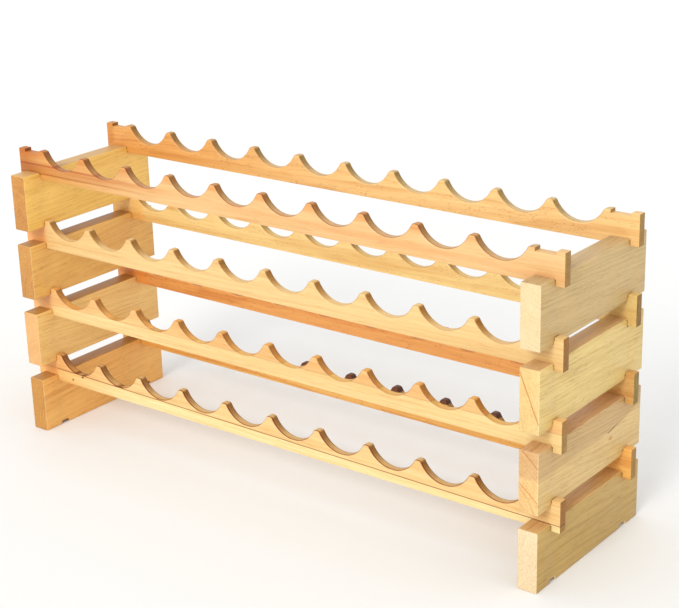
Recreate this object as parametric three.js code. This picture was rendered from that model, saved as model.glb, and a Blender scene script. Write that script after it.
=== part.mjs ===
// Stacking wine rack: four identical tiers, each two side boards and two scalloped rails.
// Millimetres, +Z up, front toward -Y, rails run along X, bottles lie along Y.
import * as THREE from "three";

// ---- driving dimensions ----
const TIERS = 4;            // tiers in the stack
const SCALLOPS = 10;        // bottle places in a row
const PITCH = 90;           // centre to centre of two neighbouring bottles
const SCALLOP_DEPTH = 26;   // from the peak tops down to the bottom of a scallop
const PEAK = 10;            // width of a peak between two scallops, at the top
const PEAK_ROUND = 2;       // rounding of the corners of peaks and horns
const RAIL_H = 46;          // rail, overall height
const RAIL_T = 14;          // rail, thickness along Y
const RAIL_SETBACK = 35;    // board end to the outer face of the nearer rail
const INNER_HORN = 10.5;    // horn between the last scallop and the board
const OUTER_HORN = 13.5;    // horn outside the board, to the rail's end
const BOARD_H = 90;         // side board, height
const BOARD_T = 30;         // side board, thickness along X
const BOARD_LEN = 280;      // side board, length along Y
const RAIL_FOOT = 8;        // depth of the notch under the rail's end
const HOUSING = 3;          // depth of the housing in the board's top edge
const RAIL_TOP_NOTCH = 5;   // depth of the notch on top of the rail's end
const BOARD_NOTCH = 5.5;    // depth of the notches in the board's bottom edge
const SIDE_PLAY = 0.5;      // play on each side of a board or rail in its notch
const SEAT_GAP = 0.3;       // gap left where one piece rests on another
const ARC_STEPS = 18;       // straight steps in one scallop
const ROUND_STEPS = 3;      // straight steps in one rounded corner

// ---- sizes that follow ----
const boardInner = (SCALLOPS * PITCH) / 2 - PEAK / 2 + INNER_HORN + SIDE_PLAY;
const boardOuter = boardInner + BOARD_T;
const railEnd = boardOuter + SIDE_PLAY + OUTER_HORN;
const railCentreY = BOARD_LEN / 2 - RAIL_SETBACK - RAIL_T / 2;
const railBottom = BOARD_H - HOUSING + SEAT_GAP - RAIL_FOOT;
const tierPitch = railBottom + RAIL_H - RAIL_TOP_NOTCH + SEAT_GAP - BOARD_NOTCH;
const halfChord = (PITCH - PEAK) / 2;
const scallopRadius = (halfChord ** 2 + SCALLOP_DEPTH ** 2) / (2 * SCALLOP_DEPTH);

// ---- outlines ----
// Points of a corner at (x, z) rounded to radius r; the edge comes in along
// direction a and leaves along direction b, both unit vectors.
function roundedCorner([x, z], a, b, r) {
  const turn = Math.acos(Math.max(-1, Math.min(1, a[0] * b[0] + a[1] * b[1])));
  const back = r * Math.tan(turn / 2);
  const side = Math.sign(a[0] * b[1] - a[1] * b[0]);
  const centre = [x - a[0] * back - a[1] * side * r, z - a[1] * back + a[0] * side * r];
  const start = Math.atan2(z - a[1] * back - centre[1], x - a[0] * back - centre[0]);
  const points = [];
  for (let i = 0; i <= ROUND_STEPS; i++) {
    const angle = start + (side * turn * i) / ROUND_STEPS;
    points.push([centre[0] + r * Math.cos(angle), centre[1] + r * Math.sin(angle)]);
  }
  return points;
}

// One scallop from its left lip to its right lip, lips rounded into the peak tops.
function scallop(centreX) {
  const centreZ = RAIL_H - SCALLOP_DEPTH + scallopRadius;
  const half = Math.asin(halfChord / scallopRadius);
  const lipEnd = Math.asin((halfChord - PEAK_ROUND / 2) / scallopRadius);
  const lip = [Math.cos(half), Math.sin(half)];
  const points = roundedCorner([centreX - halfChord, RAIL_H], [1, 0], [lip[0], -lip[1]], PEAK_ROUND);
  for (let i = 1; i < ARC_STEPS; i++) {
    const angle = -lipEnd + (2 * lipEnd * i) / ARC_STEPS;
    points.push([centreX + scallopRadius * Math.sin(angle), centreZ - scallopRadius * Math.cos(angle)]);
  }
  points.push(...roundedCorner([centreX + halfChord, RAIL_H], lip, [1, 0], PEAK_ROUND));
  return points;
}

// Rail seen from the front: top from left to right, then the bottom back again.
function railOutline() {
  const notchIn = boardInner - SIDE_PLAY;
  const notchOut = boardOuter + SIDE_PLAY;
  const notchTop = RAIL_H - RAIL_TOP_NOTCH;
  const up = [0, 1], down = [0, -1], right = [1, 0];
  const horn = (x, from, to) => roundedCorner([x, RAIL_H], from, to, PEAK_ROUND / 2);
  const points = [
    [-railEnd, 0], ...horn(-railEnd, up, right), ...horn(-notchOut, right, down),
    [-notchOut, notchTop], [-notchIn, notchTop], ...horn(-notchIn, up, right),
  ];
  for (let i = 0; i < SCALLOPS; i++) points.push(...scallop((i - (SCALLOPS - 1) / 2) * PITCH));
  points.push(
    ...horn(notchIn, right, down), [notchIn, notchTop], [notchOut, notchTop],
    ...horn(notchOut, up, right), ...horn(railEnd, right, down), [railEnd, 0],
    [notchOut, 0], [notchOut, RAIL_FOOT], [notchIn, RAIL_FOOT], [notchIn, 0],
    [-notchIn, 0], [-notchIn, RAIL_FOOT], [-notchOut, RAIL_FOOT], [-notchOut, 0],
  );
  return points;
}

// Board seen from its end, from the front to the back: two notches below, two housings above.
function boardOutline() {
  const halfLen = BOARD_LEN / 2;
  const halfSlot = RAIL_T / 2 + SIDE_PLAY;
  const points = [[-halfLen, 0]];
  const slot = (y, z, floor, step) => points.push(
    [y - step * halfSlot, z], [y - step * halfSlot, floor],
    [y + step * halfSlot, floor], [y + step * halfSlot, z],
  );
  slot(-railCentreY, 0, BOARD_NOTCH, 1);
  slot(railCentreY, 0, BOARD_NOTCH, 1);
  points.push([halfLen, 0], [halfLen, BOARD_H]);
  slot(railCentreY, BOARD_H, BOARD_H - HOUSING, -1);
  slot(-railCentreY, BOARD_H, BOARD_H - HOUSING, -1);
  points.push([-halfLen, BOARD_H]);
  return points;
}

// ---- solids ----
function extruded(points, thickness) {
  const shape = new THREE.Shape(points.map(([u, v]) => new THREE.Vector2(u, v)));
  const geometry = new THREE.ExtrudeGeometry(shape, { depth: thickness, bevelEnabled: false });
  return geometry.translate(0, 0, -thickness / 2);
}

// The outline's first axis becomes X, its second Z, and the thickness runs along Y.
function railGeometry() {
  return extruded(railOutline(), RAIL_T).rotateX(Math.PI / 2);
}

// The outline's first axis becomes Y, its second Z, and the thickness runs along X.
function boardGeometry() {
  return extruded(boardOutline(), BOARD_T).rotateX(Math.PI / 2).rotateZ(Math.PI / 2);
}

// ---- assembly ----
const group = new THREE.Group();
group.name = "wine_rack";

function add(name, geometry, [x, y, z], colour, roughness) {
  const material = new THREE.MeshStandardMaterial({ color: colour, roughness, metalness: 0 });
  material.name = `${name}_wood`;
  const mesh = new THREE.Mesh(geometry.translate(x, y, z), material);
  mesh.name = name;
  group.add(mesh);
}

const boardColours = [0xd9aa66, 0xd6ab68, 0xdbb074, 0xdcb177];
const railColours = [0xe3ab66, 0xe8bb7a, 0xecc184, 0xe3a566];

for (let tier = 1; tier <= TIERS; tier++) {
  const z = (tier - 1) * tierPitch;
  const board = boardColours[(tier - 1) % boardColours.length];
  const rail = railColours[(tier - 1) % railColours.length];
  const boardX = boardInner + BOARD_T / 2;
  add(`tier${tier}_left_board`, boardGeometry(), [-boardX, 0, z], board, 0.5);
  add(`tier${tier}_right_board`, boardGeometry(), [boardX, 0, z], board, 0.5);
  add(`tier${tier}_front_rail`, railGeometry(), [0, -railCentreY, z + railBottom], rail, 0.5);
  add(`tier${tier}_back_rail`, railGeometry(), [0, railCentreY, z + railBottom], rail, 0.5);
}

export default group;
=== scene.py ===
"""Stacking wine rack: four tiers, each of two thick side boards and two scalloped rails.

Everything is in metres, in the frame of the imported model: rails along X, bottles along Y,
front toward -Y, floor at Z = 0.
"""

import math

import bmesh
import bpy
from mathutils import Matrix, Vector


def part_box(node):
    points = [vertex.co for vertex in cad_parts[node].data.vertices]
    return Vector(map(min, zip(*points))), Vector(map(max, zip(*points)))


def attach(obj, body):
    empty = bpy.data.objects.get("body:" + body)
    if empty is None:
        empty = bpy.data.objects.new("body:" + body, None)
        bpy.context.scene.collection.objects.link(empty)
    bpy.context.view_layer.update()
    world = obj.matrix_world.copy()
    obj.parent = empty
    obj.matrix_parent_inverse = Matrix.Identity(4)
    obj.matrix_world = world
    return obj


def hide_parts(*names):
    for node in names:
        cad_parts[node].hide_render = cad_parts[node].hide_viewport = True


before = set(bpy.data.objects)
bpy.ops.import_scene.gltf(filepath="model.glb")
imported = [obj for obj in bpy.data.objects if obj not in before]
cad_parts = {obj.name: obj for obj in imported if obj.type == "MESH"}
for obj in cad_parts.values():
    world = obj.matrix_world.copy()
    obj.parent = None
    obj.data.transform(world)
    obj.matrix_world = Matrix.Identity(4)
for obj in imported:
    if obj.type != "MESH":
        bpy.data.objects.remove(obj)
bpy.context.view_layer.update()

# ---- the rack's own sizes ----
TIERS = 4
SCALLOPS = 10
PITCH = 0.090               # centre to centre of two neighbouring bottles
PEAK = 0.010                # width of a peak between two scallops
SCALLOP_DEPTH = 0.026
TOP_NOTCH = 0.005           # notch on top of a rail's end
RAIL_FOOT = 0.008           # notch under a rail's end
BOARD_NOTCH = 0.0055        # notch in a board's bottom edge
HOUSING = 0.003             # housing in a board's top edge
SIDE_PLAY = 0.0005          # play on each side of a notch
PEAK_EASE = 0.0030          # how far a peak's corner is taken back
ROUND_OVER = 0.0028         # round-over along both edges of the scallops
RAIL_EASE = 0.0005          # sanded arris of a rail
BOARD_EASE = 0.0015         # sanded arris of a board
ARC_SEGMENTS = 76           # segments of the circle that cuts a scallop, each longer than PEAK_EASE

RAIL_LOW, RAIL_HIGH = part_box("tier1_front_rail")
BOARD_LOW, BOARD_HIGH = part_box("tier1_right_board")
BACK_RAIL_LOW, BACK_RAIL_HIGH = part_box("tier1_back_rail")
RAIL_SIZE = RAIL_HIGH - RAIL_LOW
HALF_CHORD = (PITCH - PEAK) / 2
SCALLOP_RADIUS = (HALF_CHORD ** 2 + SCALLOP_DEPTH ** 2) / (2 * SCALLOP_DEPTH)
LAST_PEAK = SCALLOPS / 2 * PITCH + PEAK / 2     # from the middle to the outer side of the last peak

# ---- how the wood is worked ----
CLEAR = 0.02                # how far a cutter stands out of what it cuts
MERGE = 0.0001              # points nearer to one another than this become one
NEAR = 0.0003               # how far from its place an edge is still found
EASED = math.radians(40)    # edges that turn more than this are sanded
SMOOTHED = math.radians(35)  # edges that turn less than this are shaded smooth
SQUARE = math.radians(80)   # edges that turn more than this are square corners


# ---- modelling helpers ----
def deselect_all():
    bpy.ops.object.select_all(action="DESELECT")


def make_active(piece):
    deselect_all()
    piece.select_set(True)
    bpy.context.view_layer.objects.active = piece


def place_in_mesh(piece):
    """The object goes to the origin, unturned and unscaled, and its place goes into its mesh."""
    make_active(piece)
    bpy.ops.object.transform_apply(location=True, rotation=True, scale=True)


def add_block(name, low, high):
    deselect_all()
    low, high = Vector(low), Vector(high)
    bpy.ops.mesh.primitive_cube_add(size=1, location=(low + high) / 2, scale=high - low)
    block = bpy.context.object
    block.name = name
    place_in_mesh(block)
    return block


def apply_modifier(piece, kind, **settings):
    make_active(piece)
    modifier = piece.modifiers.new(kind.title(), kind)
    for key, value in settings.items():
        setattr(modifier, key, value)
    bpy.ops.object.modifier_apply(modifier=modifier.name)


def cut_away(piece, cutters):
    """Takes the cutters out of the piece, all at once, and removes them."""
    deselect_all()
    for cutter in cutters:
        cutter.select_set(True)
    bpy.context.view_layer.objects.active = cutters[0]
    if len(cutters) > 1:
        bpy.ops.object.join()
    cutter = bpy.context.object
    apply_modifier(piece, "BOOLEAN", operation="DIFFERENCE", solver="EXACT", object=cutter)
    bpy.data.objects.remove(cutter)
    make_active(piece)
    bpy.ops.object.mode_set(mode="EDIT")
    merge_points()


def merge_points():
    """Makes one point of those that lie together, and leaves edit mode."""
    bpy.ops.mesh.select_all(action="SELECT")
    bpy.ops.mesh.remove_doubles(threshold=MERGE)
    bpy.ops.object.mode_set(mode="OBJECT")


def select_edges(piece, wanted):
    """Enters edit mode with only the wanted edges selected."""
    make_active(piece)
    bpy.ops.object.mode_set(mode="EDIT")
    bpy.ops.mesh.select_mode(type="EDGE")
    bpy.ops.mesh.select_all(action="DESELECT")
    mesh = bmesh.from_edit_mesh(piece.data)
    for edge in mesh.edges:
        edge.select_set(wanted(edge))
    bmesh.update_edit_mesh(piece.data)


def ease_edges(piece, width):
    """Rounds every sharp edge, as sanding does, and shades the faces smooth up to it."""
    apply_modifier(
        piece, "BEVEL", width=width, segments=3, limit_method="ANGLE",
        angle_limit=EASED, use_clamp_overlap=True, harden_normals=False,
    )
    make_active(piece)
    bpy.ops.object.shade_smooth_by_angle(angle=SMOOTHED)


# ---- scalloped rail ----
def scallop_cutters():
    """One cylinder for each bottle place, along Y, its lowest line at the scallop's bottom."""
    middle = (RAIL_LOW + RAIL_HIGH) / 2
    cutters = []
    for place in range(SCALLOPS):
        deselect_all()
        bpy.ops.mesh.primitive_cylinder_add(
            vertices=ARC_SEGMENTS, radius=SCALLOP_RADIUS, depth=RAIL_SIZE.y + 2 * CLEAR,
            rotation=(math.radians(90), 0, 0),
            location=((place - (SCALLOPS - 1) / 2) * PITCH, middle.y,
                      RAIL_HIGH.z - SCALLOP_DEPTH + SCALLOP_RADIUS),
        )
        place_in_mesh(bpy.context.object)
        cutters.append(bpy.context.object)
    return cutters


def rail_notch_cutters():
    """Above and below each end, as wide as the board and its play."""
    cutters = []
    for side in (-1, 1):
        inner = side * (BOARD_LOW.x - SIDE_PLAY)
        outer = side * (BOARD_HIGH.x + SIDE_PLAY)
        left, right = min(inner, outer), max(inner, outer)
        near, far = RAIL_LOW.y - CLEAR, RAIL_HIGH.y + CLEAR
        top, bottom = RAIL_HIGH.z, RAIL_LOW.z
        cutters.append(add_block("seat", (left, near, top - TOP_NOTCH), (right, far, top + CLEAR)))
        foot_low = (left, near, bottom - CLEAR)
        cutters.append(add_block("foot", foot_low, (right, far, bottom + RAIL_FOOT)))
    return cutters


def is_lip(edge):
    """True for a top corner of a peak, where a scallop runs out."""
    a, b = (vertex.co for vertex in edge.verts)
    along_y = abs(a.y - b.y) > RAIL_SIZE.y / 2
    on_top = min(a.z, b.z) > RAIL_HIGH.z - NEAR
    lips = [(place - SCALLOPS / 2) * PITCH + side * PEAK / 2
            for place in range(SCALLOPS + 1) for side in (-1, 1)]
    return along_y and on_top and any(abs(a.x - lip) < NEAR for lip in lips)


def is_scallop_edge(edge):
    """True for the front and back edges of the scallops and peaks."""
    a, b = (vertex.co for vertex in edge.verts)
    on_face = abs(a.y - b.y) < MERGE
    between_ends = max(abs(a.x), abs(b.x)) < LAST_PEAK + MERGE
    above_floor = min(a.z, b.z) > RAIL_HIGH.z - SCALLOP_DEPTH - NEAR
    return (on_face and between_ends and above_floor and len(edge.link_faces) == 2
            and edge.calc_face_angle() > SQUARE)


def ease_peaks(rail):
    select_edges(rail, is_lip)
    bpy.ops.mesh.bevel(offset=PEAK_EASE, segments=5, affect="EDGES", clamp_overlap=True)
    bpy.ops.object.mode_set(mode="OBJECT")


def round_over(rail):
    """Rounds the scallops' edges in one run from end to end, as a cutter does."""
    select_edges(rail, is_scallop_edge)
    bpy.ops.mesh.bevel(offset=ROUND_OVER, segments=4, affect="EDGES", clamp_overlap=False)
    merge_points()


def model_rail():
    rail = add_block("rail_pattern", RAIL_LOW, RAIL_HIGH)
    cut_away(rail, scallop_cutters())
    cut_away(rail, rail_notch_cutters())
    ease_peaks(rail)
    round_over(rail)
    ease_edges(rail, RAIL_EASE)
    return rail


# ---- side board ----
def board_notch_cutters():
    """Two notches below, for the rails underneath, and two housings above, for its own rails."""
    cutters = []
    for low, high in ((RAIL_LOW, RAIL_HIGH), (BACK_RAIL_LOW, BACK_RAIL_HIGH)):
        near, far = low.y - SIDE_PLAY, high.y + SIDE_PLAY
        left, right = BOARD_LOW.x - CLEAR, BOARD_HIGH.x + CLEAR
        bottom, top = BOARD_LOW.z, BOARD_HIGH.z
        notch_low = (left, near, bottom - CLEAR)
        cutters.append(add_block("notch", notch_low, (right, far, bottom + BOARD_NOTCH)))
        cutters.append(add_block("housing", (left, near, top - HOUSING), (right, far, top + CLEAR)))
    return cutters


def model_board():
    board = add_block("board_pattern", BOARD_LOW, BOARD_HIGH)
    cut_away(board, board_notch_cutters())
    ease_edges(board, BOARD_EASE)
    return board


# ---- material helpers ----
def add_node(tree, kind, inputs=None, **settings):
    node = tree.nodes.new(kind)
    for key, value in settings.items():
        setattr(node, key, value)
    for key, value in (inputs or {}).items():
        if isinstance(value, bpy.types.NodeSocket):
            tree.links.new(value, node.inputs[key])
        else:
            node.inputs[key].default_value = value
    return node


def calc(tree, operation, first, second=0.0, third=0.0, clamp=False):
    inputs = {0: first, 1: second}
    if operation == "MULTIPLY_ADD":
        inputs[2] = third
    return add_node(tree, "ShaderNodeMath", inputs, operation=operation, use_clamp=clamp).outputs[0]


def vector_calc(tree, operation, first, second):
    return add_node(tree, "ShaderNodeVectorMath", {0: first, 1: second}, operation=operation).outputs[0]


def length_of(tree, vector):
    return add_node(tree, "ShaderNodeVectorMath", {0: vector}, operation="LENGTH").outputs["Value"]


def fade(tree, value, start, end, low=0.0, high=1.0):
    """Runs smoothly from low at start to high at end."""
    inputs = {"Value": value, "From Min": start, "From Max": end, "To Min": low, "To Max": high}
    return add_node(tree, "ShaderNodeMapRange", inputs, interpolation_type="SMOOTHSTEP").outputs[0]


def blend(tree, factor, first, second, mode="MIX"):
    """Works the second colour into the first, as far as factor says."""
    inputs = {0: factor, 6: first, 7: second}
    mix = add_node(tree, "ShaderNodeMix", inputs, data_type="RGBA", blend_type=mode, clamp_factor=True)
    return mix.outputs[2]


def noise(tree, vector, stretch, detail=2.0, roughness=0.5):
    """Noise in 0..1 whose features are 1/stretch metres long along each axis."""
    scaled = vector_calc(tree, "MULTIPLY", vector, stretch)
    inputs = {"Vector": scaled, "Scale": 1.0, "Detail": detail, "Roughness": roughness}
    return add_node(tree, "ShaderNodeTexNoise", inputs).outputs


def paint(colour):
    """Linear colour from the 0..255 values of a paint chart."""
    linear = []
    for channel in colour:
        share = channel / 255
        linear.append(share / 12.92 if share <= 0.04045 else ((share + 0.055) / 1.055) ** 2.4)
    return (*linear, 1.0)


# ---- wood ----
# Colours of marks on the wood, and of the painted shade and painted highlight on it.
FLECK = (140, 84, 44)
# The scorch colour is also painted shade along the round-over of the scallops.
SCORCH_AND_EDGE_SHADE = (166, 102, 52)
HEARTWOOD = (196, 128, 78)
GLUE_LINE = (150, 84, 40)
BARK_SIDE = (104, 60, 34)
END_LINE = (214, 150, 92)
DEEP_SPLIT = (112, 66, 30)
FAINT_SPLIT = (196, 146, 92)
# Painted highlight along the eased edges.
ARRIS_HIGHLIGHT = (252, 236, 200)


class Wood:
    """Solid lacquered wood, grown in rings round a pith that lies outside the piece.

    The grain runs along one axis; long faces show lines and streaks, and end faces show
    arcs, because every face cuts the same solid pattern.
    """

    def __init__(self, name, grain, pith, slope):
        self.material = bpy.data.materials.new(name)
        self.material.use_nodes = True
        self.tree = self.material.node_tree
        self.tree.nodes.clear()
        tree = self.tree
        self.place = add_node(tree, "ShaderNodeTexCoord").outputs
        turn = (0.0, slope, 0.0) if grain == "X" else (0.0, slope, math.radians(90))
        self.local = add_node(
            tree, "ShaderNodeMapping",
            {"Vector": self.place["Object"], "Location": pith, "Rotation": turn},
            vector_type="TEXTURE",
        ).outputs[0]
        self.xyz = add_node(tree, "ShaderNodeSeparateXYZ", {0: self.place["Object"]}).outputs
        self.facing = add_node(tree, "ShaderNodeSeparateXYZ", {0: self.place["Normal"]}).outputs
        self.end_grain = fade(tree, calc(tree, "ABSOLUTE", self.facing[grain]), 0.25, 0.95)

    def drift(self, stretch, amount):
        """Noise that moves the rings sideways, and never along the grain."""
        sway = noise(self.tree, self.local, stretch, 2)["Color"]
        push = vector_calc(self.tree, "SUBTRACT", sway, (0.5, 0.5, 0.5))
        return vector_calc(self.tree, "MULTIPLY", push, (0, amount, amount))

    def grow(self, ring, ring_depth, streak_depth, pore_depth, fleck_cells):
        """Rings, streaks, pores, fine fibre and flecks; the tone runs from 0, pale, to 1, dark."""
        tree = self.tree
        swayed = vector_calc(tree, "ADD", self.local, self.drift((3.5, 14, 14), 0.010))
        warped = vector_calc(tree, "ADD", swayed, self.drift((16, 90, 90), 0.0016))
        cross = vector_calc(tree, "MULTIPLY", warped, (0, 1, 1))
        radius = length_of(tree, cross)
        years = calc(tree, "MULTIPLY", radius, 1 / ring)
        uneven = add_node(
            tree, "ShaderNodeTexNoise", {"W": years, "Scale": 0.35, "Detail": 1.0},
            noise_dimensions="1D",
        ).outputs[0]
        season = calc(tree, "FRACT", calc(tree, "MULTIPLY_ADD", uneven, 2.2, years))
        self.late = calc(tree, "MULTIPLY", fade(tree, season, 0.5, 0.88), fade(tree, season, 1.0, 0.9))
        patchy = noise(tree, self.local, (7, 60, 60), 2)["Fac"]
        self.late = calc(tree, "MULTIPLY", self.late, fade(tree, patchy, 0.3, 0.64, 0.25, 1.0))
        streak = noise(tree, warped, (5, 260, 260), 4, 0.7)["Fac"]
        pores = noise(tree, warped, (24, 480, 480), 2, 0.6)["Fac"]
        self.fibre = noise(tree, warped, (30, 1100, 1100), 2, 0.6)["Fac"]
        broad = noise(tree, self.local, (2.2, 22, 22), 2)["Fac"]
        cells = vector_calc(tree, "MULTIPLY", warped, fleck_cells)
        specks = add_node(tree, "ShaderNodeTexVoronoi", {"Vector": cells, "Scale": 1.0}).outputs
        scatter = noise(tree, self.local, (30, 90, 90), 1)["Fac"]
        small = fade(tree, specks["Distance"], 0.34, 0.14)
        self.flecks = calc(tree, "MULTIPLY", small, fade(tree, scatter, 0.46, 0.6))
        tone = calc(tree, "MULTIPLY", self.late, ring_depth)
        tone = calc(tree, "MULTIPLY_ADD", fade(tree, streak, 0.32, 0.7), streak_depth, tone)
        tone = calc(tree, "MULTIPLY_ADD", fade(tree, pores, 0.54, 0.66), pore_depth, tone)
        tone = calc(tree, "MULTIPLY_ADD", fade(tree, broad, 0.3, 0.72), 0.26, tone)
        fine = calc(tree, "SUBTRACT", self.fibre, 0.5)
        self.tone = calc(tree, "MULTIPLY_ADD", fine, 0.4, tone, clamp=True)

    def colour_with(self, pale, dark, end_pale, end_dark):
        """Long grain takes the first two colours, end grain the last two."""
        tree = self.tree
        long_grain = blend(tree, self.tone, paint(pale), paint(dark))
        end_grain = blend(tree, self.tone, paint(end_pale), paint(end_dark))
        self.colour = blend(tree, self.end_grain, long_grain, end_grain)

    def tint(self, mask, colour, strength=1.0):
        """Multiplies a colour into the wood where the mask is 1: stains and marks, and painted shade
        where a caller asks for it.
        """
        amount = calc(self.tree, "MULTIPLY", mask, strength)
        self.colour = blend(self.tree, amount, self.colour, paint(colour), "MULTIPLY")

    def retone(self, mask, colours):
        """Other pale and dark tones where the mask is 1, for the wood's own tones and for painted light
        and shade.
        """
        stained = blend(self.tree, self.tone, *(paint(colour) for colour in colours))
        self.colour = blend(self.tree, mask, self.colour, stained)

    def band(self, axis, centre, half_width, soft, slope_axis=None, slope=0.0, waver=0.0):
        """Mask of a stripe round centre + slope * (the other coordinate), with a wavering edge."""
        tree = self.tree
        offset = calc(tree, "SUBTRACT", self.xyz[axis], centre)
        if slope_axis is not None:
            offset = calc(tree, "MULTIPLY_ADD", self.xyz[slope_axis], -slope, offset)
        if waver:
            ripple = noise(tree, self.place["Object"], (7, 7, 30), 2)["Fac"]
            offset = calc(tree, "MULTIPLY_ADD", calc(tree, "SUBTRACT", ripple, 0.5), waver, offset)
        return fade(tree, calc(tree, "ABSOLUTE", offset), half_width + soft, half_width)

    def along(self, axis, start, end):
        """Mask that fades in from start to end along an axis."""
        return fade(self.tree, self.xyz[axis], start, end)

    def both(self, first, second):
        """Mask of where two masks meet."""
        return calc(self.tree, "MULTIPLY", first, second)

    def knot(self, centre, reach, colour, strength):
        """A small oval mark with a ragged edge; reach is about half its size along each axis."""
        tree = self.tree
        away = vector_calc(tree, "SUBTRACT", self.place["Object"], centre)
        away = vector_calc(tree, "MULTIPLY", away, [1 / length for length in reach])
        distance = length_of(tree, away)
        ragged = noise(tree, self.place["Object"], (400, 400, 400), 2)["Fac"]
        distance = calc(tree, "MULTIPLY_ADD", calc(tree, "SUBTRACT", ragged, 0.5), 0.9, distance)
        self.tint(fade(tree, distance, 1.2, 0.5), colour, strength)

    def darken_scallops(self, floor, reach, brown, scorch_and_shade):
        """Brown the cutter leaves in the scallops, and darker lines along the round-over, partly scorch
        and partly painted shade where the round-over turns from the light.
        """
        tree = self.tree
        in_reach = self.band("X", 0.0, reach, 0.0005)
        inside = self.both(self.along("Z", floor - 0.001, floor), in_reach)
        sideways = calc(tree, "ABSOLUTE", self.facing["Y"])
        self.tint(self.both(inside, fade(tree, sideways, 0.6, 0.2)), brown)
        line = self.both(fade(tree, sideways, 0.06, 0.24), fade(tree, sideways, 0.75, 0.5))
        # Lines along the round-over: partly scorch, partly painted shade.
        self.tint(self.both(inside, line), SCORCH_AND_EDGE_SHADE, scorch_and_shade)

    def paint_arris_highlights(self, strength):
        """Painted highlight: a paler line along the eased edges where they would catch the light, the
        upright ones most.
        """
        tree = self.tree
        x, y, z = (calc(tree, "ABSOLUTE", part) for part in self.facing)
        squareness = calc(tree, "MAXIMUM", calc(tree, "MAXIMUM", x, y), z)
        highlight = calc(tree, "MULTIPLY", fade(tree, squareness, 0.96, 0.8), strength)
        highlight = calc(tree, "MULTIPLY", highlight, fade(tree, z, 0.5, 0.25, 0.2, 1.0))
        self.colour = blend(tree, highlight, self.colour, paint(ARRIS_HIGHLIGHT))

    def finish(self, fleck_strength):
        """Colour, gloss and bump meet the shader."""
        tree = self.tree
        self.tint(self.flecks, FLECK, fleck_strength)
        rough = calc(tree, "MULTIPLY_ADD", self.fibre, 0.16, 0.38)
        rough = calc(tree, "MULTIPLY_ADD", self.end_grain, 0.14, rough)
        height = calc(tree, "MULTIPLY_ADD", self.late, -0.3, self.fibre)
        height = calc(tree, "MULTIPLY_ADD", self.flecks, -0.9, height)
        bump = add_node(tree, "ShaderNodeBump", {
            "Height": height, "Strength": 0.22, "Distance": 0.0005,
        })
        shader = add_node(tree, "ShaderNodeBsdfPrincipled", {
            "Base Color": self.colour, "Roughness": rough, "Normal": bump.outputs[0],
            "Specular IOR Level": 0.35, "Coat Weight": 0.1, "Coat Roughness": 0.3,
        })
        output = add_node(tree, "ShaderNodeOutputMaterial")
        tree.links.new(shader.outputs[0], output.inputs[0])
        return self.material


# Pale and dark tone of each stick of wood, by tier from the floor up.
RAIL_TONES = {
    "front": [((244, 239, 202), (217, 191, 129)), ((232, 206, 150), (208, 164, 102)),
              ((229, 197, 137), (207, 161, 97)), ((229, 190, 133), (209, 156, 95))],
    "back": [((240, 188, 104), (214, 144, 68)), ((240, 176, 101), (212, 134, 66)),
             ((250, 222, 152), (230, 184, 112)), ((237, 198, 134), (213, 163, 99))],
}
# The end grain of every rail.
RAIL_END = ((176, 136, 64), (126, 88, 32))
# How plainly the flecks show on each rail.
RAIL_FLECKS = {"front": [0.1, 0.1, 0.05, 0.15], "back": [0.45, 0.5, 0.35, 0.5]}
# Brown that the cutter left in the scallops, and how dark the lines along their edges are: partly
# scorch, partly painted shade on the round-over.
RAIL_BROWNS = {
    "front": [(234, 230, 217), (255, 236, 190), (255, 255, 255), (231, 225, 220)],
    "back": [(230, 220, 205), (230, 220, 205), (235, 230, 215), (230, 241, 255)],
}
RAIL_SCORCH_AND_SHADE = {"front": [1.0, 0.35, 0.2, 0.65], "back": [0.35, 0.35, 0.2, 0.2]}
# Tones of the left tips of the three lower front rails: their own orange tone, partly painted light
# that keeps them bright where the board shades them.
LEFT_TIP_TONES_AND_LIGHT = [((244, 182, 106), (214, 142, 70)), ((236, 184, 122), (216, 146, 84)),
             ((242, 180, 114), (220, 148, 80))]
# Tones of each board's faces, its ends and its top edge; the top edge's darker tones are painted shade,
# for the tops lie in shade between the tiers.
BOARD_TONES = {
    "left": [((242, 188, 106), (216, 150, 72)), ((244, 204, 128), (220, 164, 90)),
             ((238, 190, 106), (214, 152, 74)), ((252, 208, 114), (228, 176, 82))],
    "right": [((202, 168, 96), (168, 130, 60)), ((228, 196, 132), (194, 154, 88)),
              ((234, 206, 134), (200, 164, 90)), ((212, 182, 124), (180, 146, 90))],
}
BOARD_ENDS = {
    "left": [((200, 148, 72), (168, 106, 44)), ((226, 178, 118), (204, 146, 86)),
             ((202, 150, 78), (172, 110, 50)), ((206, 150, 76), (166, 102, 44))],
    "right": [((228, 208, 170), (206, 172, 128)), ((232, 196, 136), (204, 152, 88)),
              ((228, 200, 138), (206, 164, 96)), ((228, 208, 164), (214, 184, 134))],
}
BOARD_TOPS_IN_SHADE = {
    "left": [((190, 140, 74), (160, 112, 54)), ((188, 136, 62), (156, 110, 46)),
             ((183, 135, 77), (154, 108, 56)), ((214, 174, 112), (190, 146, 88))],
    "right": [((214, 170, 112), (178, 132, 76)), ((232, 188, 132), (194, 148, 92)),
              ((218, 178, 126), (182, 140, 87)), ((200, 171, 124), (169, 136, 90))],
}
# Pith of each board, outward from its inner face and up from its bottom, and the grain's slope.
BOARD_HEARTS = {
    "left": [(-0.09, 0.03, -4), (0.09, 0.16, 3), (-0.08, 0.03, -4), (0.10, -0.07, -3)],
    "right": [(-0.09, 0.08, 3), (-0.07, -0.06, 4), (-0.12, -0.03, 2), (0.10, 0.17, 3)],
}


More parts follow.
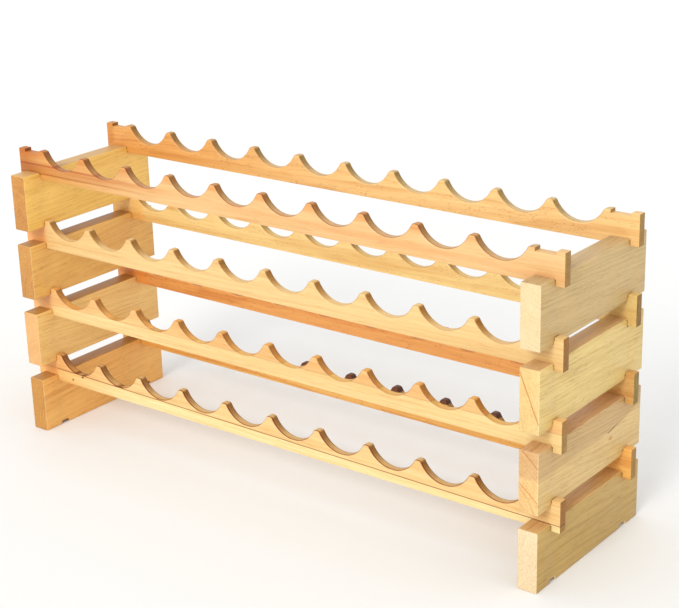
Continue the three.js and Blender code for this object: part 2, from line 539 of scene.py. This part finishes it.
def rail_wood(name, where, tier):
    """Every rail has its pith in another place, so that no two show the same rings."""
    low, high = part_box(f"tier{tier}_{where}_rail")
    beside = 0.07 + 0.02 * ((tier * 5 + len(where)) % 4)
    pith = (0.3 * tier, low.y - beside, high.z + 0.02 - 0.03 * (tier % 3))
    wood = Wood(name, "X", pith, math.radians(1.2 - 0.8 * tier))
    ring_depth = 0.22 if where == "front" else 0.5
    wood.grow(ring=0.006, ring_depth=ring_depth, streak_depth=0.42, pore_depth=0.26,
              fleck_cells=(120, 580, 580))
    wood.colour_with(*RAIL_TONES[where][tier - 1], *RAIL_END)
    wood.darken_scallops(high.z - SCALLOP_DEPTH, LAST_PEAK,
                         RAIL_BROWNS[where][tier - 1], RAIL_SCORCH_AND_SHADE[where][tier - 1])
    if where == "front":
        mark_front_rail(wood, tier, low)
    else:
        mark_back_rail(wood, tier, high)
    return wood.finish(fleck_strength=RAIL_FLECKS[where][tier - 1])


def mark_front_rail(wood, tier, low):
    """Glued strips, knots, heartwood and darker ends, as each front rail has them."""
    if tier == 1:
        wood.tint(wood.along("X", -0.25, -0.47), (244, 216, 186), 0.9)
        two_strips(wood, low, (245, 214, 180), (251, 235, 208), 0.016, -0.012, 0.9)
        wood.knot((-0.421, low.y, low.z + 0.009), (0.003, 0.006, 0.002), (120, 70, 40), 0.8)
        wood.knot((-0.398, low.y, low.z + 0.018), (0.003, 0.006, 0.002), (110, 64, 36), 0.9)
    if tier == 2:
        two_strips(wood, low, (255, 236, 218), (255, 254, 246), 0.023, 0.010, 0.25)
    if tier == 3:
        wood.tint(wood.end_grain, (236, 208, 160), 0.9)
    if tier == 4:
        red_heart(wood, low)
    else:
        # Left tip: its own orange tone, partly painted light against the shade at the board.
        wood.retone(wood.along("X", -0.450, -0.462), LEFT_TIP_TONES_AND_LIGHT[tier - 1])


def mark_back_rail(wood, tier, high):
    """Darker ends, and the dark top of the lowest back rail."""
    if tier == 1:
        dark_top(wood, high)
    if tier == 2:
        wood.tint(wood.along("X", 0.45, 0.46), (227, 247, 255))
    if tier == 3:
        wood.tint(wood.along("X", 0.45, 0.46), (225, 221, 207))
    if tier in (2, 3):
        wood.tint(wood.along("X", -0.42, -0.44), (255, 240, 215))
    if tier == 4:
        wood.tint(wood.along("X", 0.1, -0.46), (240, 206, 162), 0.9)
        wood.tint(wood.along("X", -0.480, -0.490), (238, 222, 200))


def red_heart(wood, low):
    """Reddish heartwood lines at the top front rail's left end, a blush and redder peaks."""
    left = wood.along("X", -0.15, -0.42)
    wood.tint(left, (240, 214, 168), 0.9)
    wood.tint(wood.along("X", -0.44, -0.49), (226, 196, 150), 0.9)
    for height, slope, half_width, strength in (
        (0.0225, -0.001, 0.0005, 0.7), (0.0105, 0.002, 0.0004, 0.5), (0.016, 0.003, 0.005, 0.3),
    ):
        streak = wood.band("Z", low.z + height, half_width, 0.002, "X", slope, 0.004)
        wood.tint(wood.both(streak, left), HEARTWOOD, strength)
    blush = wood.band("Z", low.z + 0.017, 0.001, 0.006, "X", -0.012, 0.009)
    wood.tint(blush, (246, 204, 182), 0.35)
    peaks = wood.band("Z", low.z + RAIL_SIZE.z, 0.006, 0.010, waver=0.012)
    wood.tint(wood.both(peaks, wood.band("X", -0.1, 0.42, 0.1)), (244, 206, 164), 0.7)


def two_strips(wood, low, upper, lower, height, slope, line):
    """A rail glued up from two strips; slope is how much the glue line rises toward the right."""
    edge = wood.band("Z", low.z + height - 0.1, 0.1, 0.0006, "X", slope, 0.0015)
    wood.tint(edge, lower)
    wood.tint(calc(wood.tree, "SUBTRACT", 1.0, edge), upper)
    seam = wood.band("Z", low.z + height, 0.0003, 0.0008, "X", slope, 0.0015)
    wood.tint(seam, GLUE_LINE, line)


def dark_top(wood, high):
    """Dark brown bark-side wood left along the peaks, short of the rail's ends."""
    inside = wood.both(wood.along("X", 0.34, 0.30), wood.along("X", -0.25, -0.1))
    top = wood.band("Z", high.z, 0.006, 0.001, waver=0.003)
    wood.tint(wood.both(top, inside), BARK_SIDE, 0.95)


def board_wood(name, side, tier):
    """Straight grain along the outer faces, and arcs across the front and back ends."""
    low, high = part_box(f"tier{tier}_{side}_board")
    outward, up, slope = BOARD_HEARTS[side][tier - 1]
    inner_x = low.x if side == "right" else high.x
    sign = 1 if side == "right" else -1
    pith = (inner_x + sign * outward, 0.1 * tier, low.z + up)
    wood = Wood(name, "Y", pith, math.radians(slope))
    wood.grow(ring=0.0045, ring_depth=0.34, streak_depth=0.34, pore_depth=0.36,
              fleck_cells=(60, 560, 560))
    wood.colour_with(*BOARD_TONES[side][tier - 1], *BOARD_ENDS[side][tier - 1])
    # Painted shade: the top edges take darker tones, for the shade they lie in between the tiers.
    top = fade(wood.tree, wood.facing["Z"], 0.8, 0.98)
    wood.retone(top, BOARD_TOPS_IN_SHADE[side][tier - 1])
    if side == "right" and tier == 2:
        split(wood, low, high)
        end_line(wood, low, 0.052, -1.2)
        end_line(wood, low, 0.102, -1.07)
    if side == "right" and tier == 3:
        end_line(wood, low, 0.036, -0.42)
        wood.knot((high.x, 0.094, low.z + 0.079), (0.004, 0.003, 0.003), (90, 48, 24), 0.9)
    # Painted highlight along the board's eased edges.
    wood.paint_arris_highlights(0.4 if side == "right" else 0.2)
    return wood.finish(fleck_strength=0.3)


def end_line(wood, low, reach, slope):
    """One darker growth line across the front end, leaning back to the inner face."""
    front = wood.both(wood.along("Y", low.y + 0.004, low.y + 0.002), wood.end_grain)
    line = wood.band("X", low.x + reach + slope * -low.z, 0.0003, 0.0011, "Z", slope, 0.004)
    wood.tint(wood.both(line, front), END_LINE, 0.8)


def split(wood, low, high):
    """Greyer wood above a short drying split, and a small knot below it, on the outer face."""
    tree = wood.tree
    climb = calc(tree, "MAXIMUM", calc(tree, "SUBTRACT", wood.xyz["Y"], 0.046), 0.0)
    height = calc(tree, "MULTIPLY_ADD", climb, -0.16, wood.xyz["Z"])
    wood.tint(fade(tree, height, low.z + 0.046, low.z + 0.055), (232, 224, 226), 0.9)
    outside = wood.along("X", high.x - 0.006, high.x - 0.002)
    away = calc(tree, "ABSOLUTE", calc(tree, "SUBTRACT", height, low.z + 0.0505))
    start = wood.along("Y", 0.044, 0.047)
    crack = wood.both(fade(tree, away, 0.0011, 0.0003), wood.both(start, outside))
    wood.tint(wood.both(crack, wood.along("Y", 0.074, 0.062)), DEEP_SPLIT, 0.95)
    wood.tint(wood.both(crack, wood.along("Y", 0.125, 0.075)), FAINT_SPLIT, 0.7)
    wood.knot((high.x, 0.0536, low.z + 0.040), (0.004, 0.006, 0.003), (222, 178, 110), 0.8)


# ---- assembly ----
def copy_to(pattern, name, offset, material, node, body):
    """A piece with a mesh of its own, moved by offset within it."""
    piece = pattern.copy()
    piece.data = pattern.data.copy()
    piece.name = name
    piece.data.name = name
    piece.data.transform(Matrix.Translation(offset))
    piece.data.materials.clear()
    piece.data.materials.append(material)
    bpy.context.collection.objects.link(piece)
    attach(piece, body)
    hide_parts(node)


def build_rack():
    rail, board = model_rail(), model_board()
    for tier in range(1, TIERS + 1):
        body = f"tier_{tier}"
        for where in ("front", "back"):
            node = f"tier{tier}_{where}_rail"
            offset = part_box(node)[0] - RAIL_LOW
            name = f"scalloped_rail_{where}_{tier}"
            copy_to(rail, name, offset, rail_wood(name, where, tier), node, body)
        for side in ("left", "right"):
            node = f"tier{tier}_{side}_board"
            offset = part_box(node)[0] - BOARD_LOW
            name = f"side_board_{side}_{tier}"
            copy_to(board, name, offset, board_wood(name, side, tier), node, body)
    for pattern in (rail, board):
        bpy.data.objects.remove(pattern)


# ---- studio ----
# Where the camera stands, how it is turned, and its lens in millimetres.
EYE = Vector((1.480, -1.814, 1.117))
HEADING = math.radians(38.09)
LOOK_DOWN = math.radians(19.87)
ROLL = math.radians(-1.67)
LENS = 87.5


def add_camera():
    camera = bpy.data.objects.new("camera", bpy.data.cameras.new("camera"))
    camera.data.lens = LENS
    turn = (Matrix.Rotation(HEADING, 4, "Z") @ Matrix.Rotation(math.pi / 2 - LOOK_DOWN, 4, "X")
            @ Matrix.Rotation(ROLL, 4, "Z"))
    camera.matrix_world = Matrix.Translation(EYE) @ turn
    bpy.context.collection.objects.link(camera)
    bpy.context.scene.camera = camera


def add_key():
    """A broad soft key from the rack's front, to the left of the camera."""
    lamp = bpy.data.lights.new("key", "SUN")
    lamp.angle = math.radians(22)
    lamp.energy = 1.7
    lamp.color = (1.0, 0.97, 0.93)
    key = bpy.data.objects.new("key", lamp)
    key.rotation_euler = Vector((-0.12, 0.84, -0.52)).to_track_quat("-Z", "Y").to_euler()
    bpy.context.collection.objects.link(key)


def add_floor():
    deselect_all()
    bpy.ops.mesh.primitive_plane_add(size=30, location=(0, 0, 0))
    floor = bpy.context.object
    floor.name = "floor"
    material = bpy.data.materials.new("pale_floor")
    material.use_nodes = True
    shader = material.node_tree.nodes["Principled BSDF"]
    shader.inputs["Base Color"].default_value = (0.84, 0.85, 0.85, 1)
    shader.inputs["Roughness"].default_value = 0.9
    shader.inputs["Specular IOR Level"].default_value = 0.1
    floor.data.materials.append(material)


def light_studio():
    world = bpy.data.worlds.new("white_studio")
    world.use_nodes = True
    world.node_tree.nodes["Background"].inputs["Color"].default_value = (1.0, 1.0, 1.0, 1)
    world.node_tree.nodes["Background"].inputs["Strength"].default_value = 0.93
    bpy.context.scene.world = world
    add_key()
    bpy.context.scene.view_settings.view_transform = "Standard"


build_rack()
add_floor()
light_studio()
add_camera()
